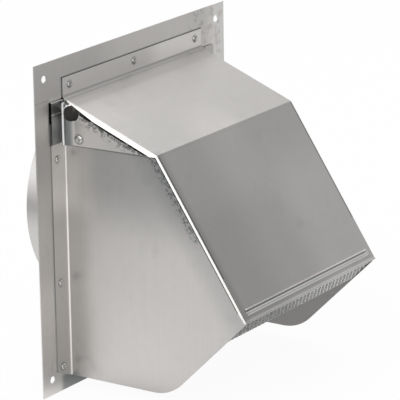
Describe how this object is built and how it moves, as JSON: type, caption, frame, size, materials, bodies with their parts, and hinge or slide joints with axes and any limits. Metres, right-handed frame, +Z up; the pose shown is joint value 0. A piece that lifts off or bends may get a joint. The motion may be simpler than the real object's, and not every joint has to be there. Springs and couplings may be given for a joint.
{
  "type": "wall vent cap",
  "caption": "Sheet-aluminium wall cap for a round duct: square plate, sloped hood open below, bird screen and hinged backdraft flap.",
  "frame": {"origin": "on the collar's axis, in the plane of the wall plate's back face", "axes": "+X right seen from the front, -Y out of the wall, +Z up"},
  "size_m": [0.2414, 0.1925, 0.2414],
  "materials": {
    "sheet": "satin mill finish",
    "collar_sheet": "satin mill finish",
    "mesh": "satin",
    "rivet": "bright",
    "rod": "zinc plated",
    "nylon": "matt moulded",
    "foam": "closed-cell foam"
  },
  "bodies": {
    "hood": {"wall_plate": "sheet", "duct_collar": "collar_sheet", "hood_cover": "sheet", "left_cheek": "sheet", "right_cheek": "sheet", "left_gusset": "sheet", "right_gusset": "sheet", "bird_screen": "mesh", "left_pivot_bracket": "collar_sheet", "right_pivot_bracket": "collar_sheet", "left_bushing": "nylon", "right_bushing": "nylon", "flap_seal": "foam", "cover_rivets": "rivet", "left_cheek_rivets": "rivet", "right_cheek_rivets": "rivet", "left_gusset_rivet": "rivet", "right_gusset_rivet": "rivet", "collar_rivets": "rivet", "bracket_rivets": "rivet", "screen_rivets": "rivet"},
    "damper": {"damper_flap": "collar_sheet", "pivot_rod": "rod", "rod_caps": "nylon"}
  },
  "joints": [
    {"name": "damper_hinge", "type": "hinge", "parent": "hood", "child": "damper", "pos_m": [0, -0.00446, 0.0832], "axis": [-1, 0, 0], "range_deg": [0, 48]}
  ]
}
